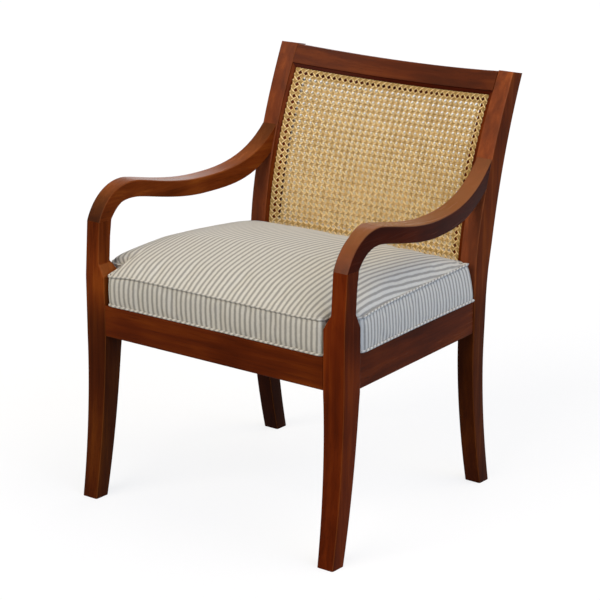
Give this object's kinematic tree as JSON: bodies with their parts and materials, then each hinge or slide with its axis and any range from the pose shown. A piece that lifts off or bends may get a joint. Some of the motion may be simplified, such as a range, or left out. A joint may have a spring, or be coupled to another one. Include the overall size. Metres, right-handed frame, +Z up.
{
  "type": "planters armchair",
  "caption": "Open planters armchair: stained hardwood frame, sweeping scrolled arms, raked stiles, bowed caned back and a boxed, piped ticking-stripe seat cushion.",
  "frame": {"origin": "on the floor, below the middle of the chair's bounding box", "axes": "+Z up, -Y the way the sitter faces, +X to the sitter's left; metres"},
  "size_m": [0.65, 0.6888, 0.8599],
  "materials": {
    "mahogany": "mahogany stain under satin lacquer",
    "inner_wood": "bare planed hardwood",
    "plywood": "bare birch plywood",
    "rattan_cane": "natural hand-caned rattan, lightly varnished",
    "ticking": "woven cotton ticking, cream with grey-taupe stripes",
    "steel": "zinc-plated steel screws"
  },
  "bodies": {
    "root": {"front_leg_left": "mahogany", "front_leg_right": "mahogany", "rear_leg_left": "mahogany", "rear_leg_right": "mahogany", "arm_left": "mahogany", "arm_right": "mahogany", "crest_rail": "mahogany", "lower_back_rail": "mahogany", "front_seat_rail": "mahogany", "rear_seat_rail": "mahogany", "side_seat_rail_left": "mahogany", "side_seat_rail_right": "mahogany", "cane_frame_side_left": "mahogany", "cane_frame_side_right": "mahogany", "cane_frame_top": "mahogany", "cane_frame_bottom": "mahogany", "cane_sheet_front": "rattan_cane", "cane_sheet_rear": "rattan_cane", "arm_post_dowel_1_left": "inner_wood", "arm_post_dowel_1_right": "inner_wood", "arm_post_dowel_2_left": "inner_wood", "arm_post_dowel_2_right": "inner_wood", "arm_stile_dowel_1_left": "inner_wood", "arm_stile_dowel_1_right": "inner_wood", "arm_stile_dowel_2_left": "inner_wood", "arm_stile_dowel_2_right": "inner_wood", "corner_block_front_left": "inner_wood", "corner_block_front_right": "inner_wood", "corner_block_rear_left": "inner_wood", "corner_block_rear_right": "inner_wood", "block_screw_front_rail_left": "steel", "block_screw_front_rail_right": "steel", "block_screw_front_side_left": "steel", "block_screw_front_side_right": "steel", "block_screw_rear_rail_left": "steel", "block_screw_rear_rail_right": "steel", "block_screw_rear_side_left": "steel", "block_screw_rear_side_right": "steel", "seat_screw_front_left": "steel", "seat_screw_front_right": "steel", "seat_screw_rear_left": "steel", "seat_screw_rear_right": "steel", "seat_board": "plywood", "seat_cushion": "ticking", "piping_top": "ticking", "piping_bottom": "ticking"}
  },
  "joints": []
}
